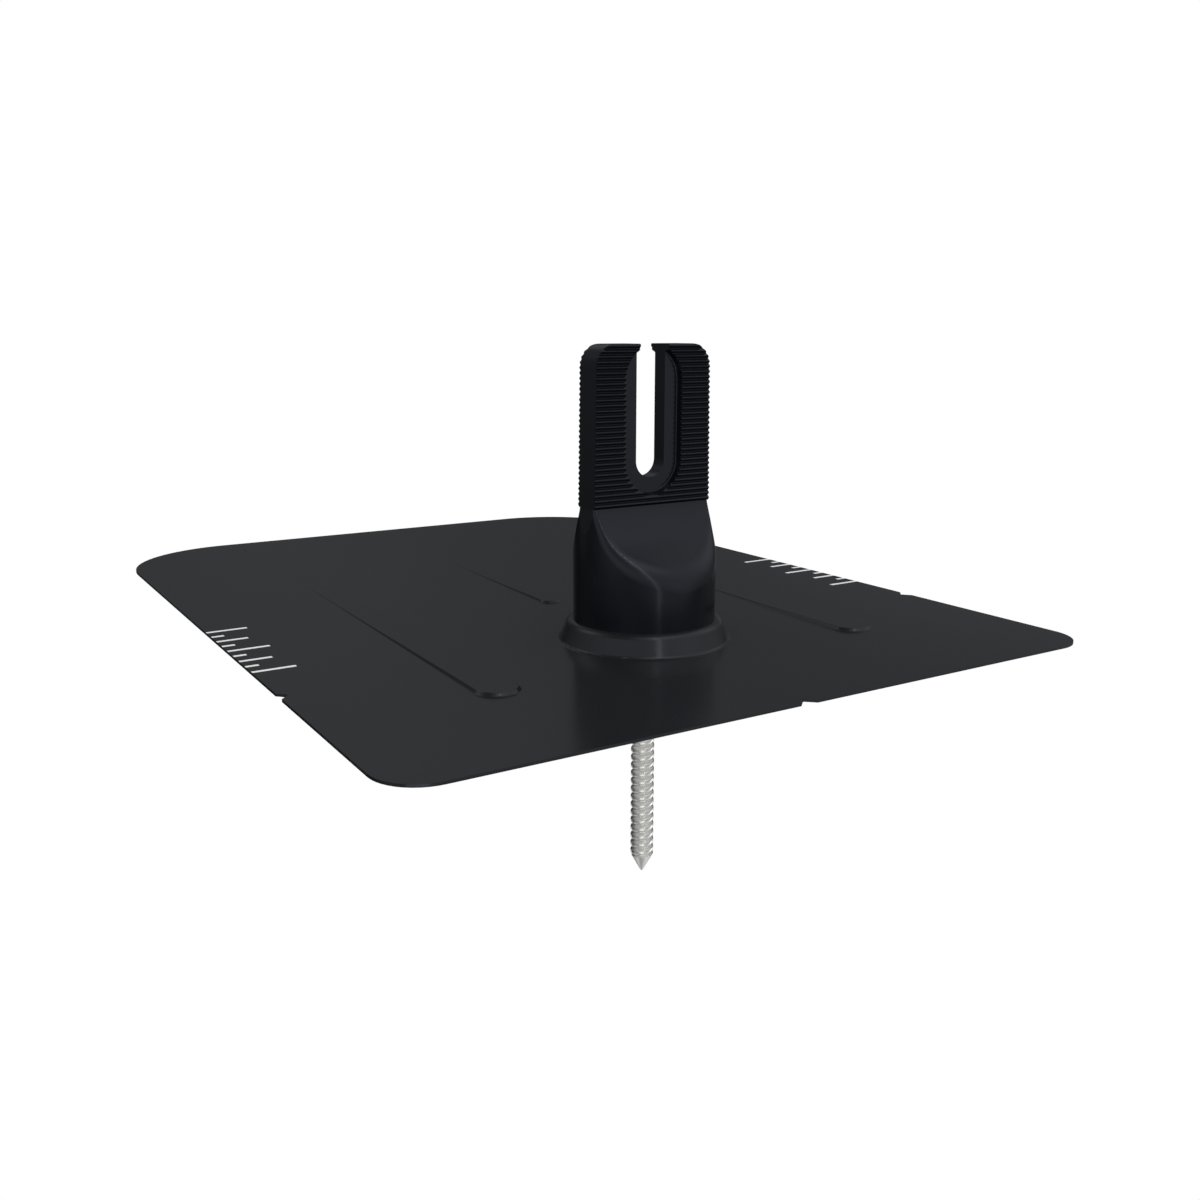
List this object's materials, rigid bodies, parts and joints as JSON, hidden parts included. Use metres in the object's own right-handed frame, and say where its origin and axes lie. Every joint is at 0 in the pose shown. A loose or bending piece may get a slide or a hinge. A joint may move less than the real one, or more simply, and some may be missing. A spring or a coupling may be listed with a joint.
{
  "type": "solar roof flashing mount",
  "caption": "Black embossed roof flashing with a lag screw, a raised seal and a slotted, serrated tower that carries a solar rail.",
  "frame": {"origin": "on the lag screw's axis, in the plane of the flashing's underside, where the screw enters the roof", "axes": "+Z away from the roof, along the screw towards its head; +Y up the slope; +X to the right seen from the eaves"},
  "size_m": [0.2286, 0.3048, 0.1676],
  "materials": {
    "black_sheet": "semi-gloss black coat on aluminium sheet",
    "black_casting": "satin black coat on a fine-grained aluminium casting",
    "stainless": "rolled stainless steel, satin",
    "stainless_washer": "stamped stainless steel, satin",
    "epdm": "matt black EPDM",
    "white_print": "white printed graduation"
  },
  "bodies": {
    "root": {"flashing": "black_sheet", "tower": "black_casting", "lag_screw": "stainless", "lock_washer": "stainless_washer", "seal": "epdm"}
  },
  "joints": []
}
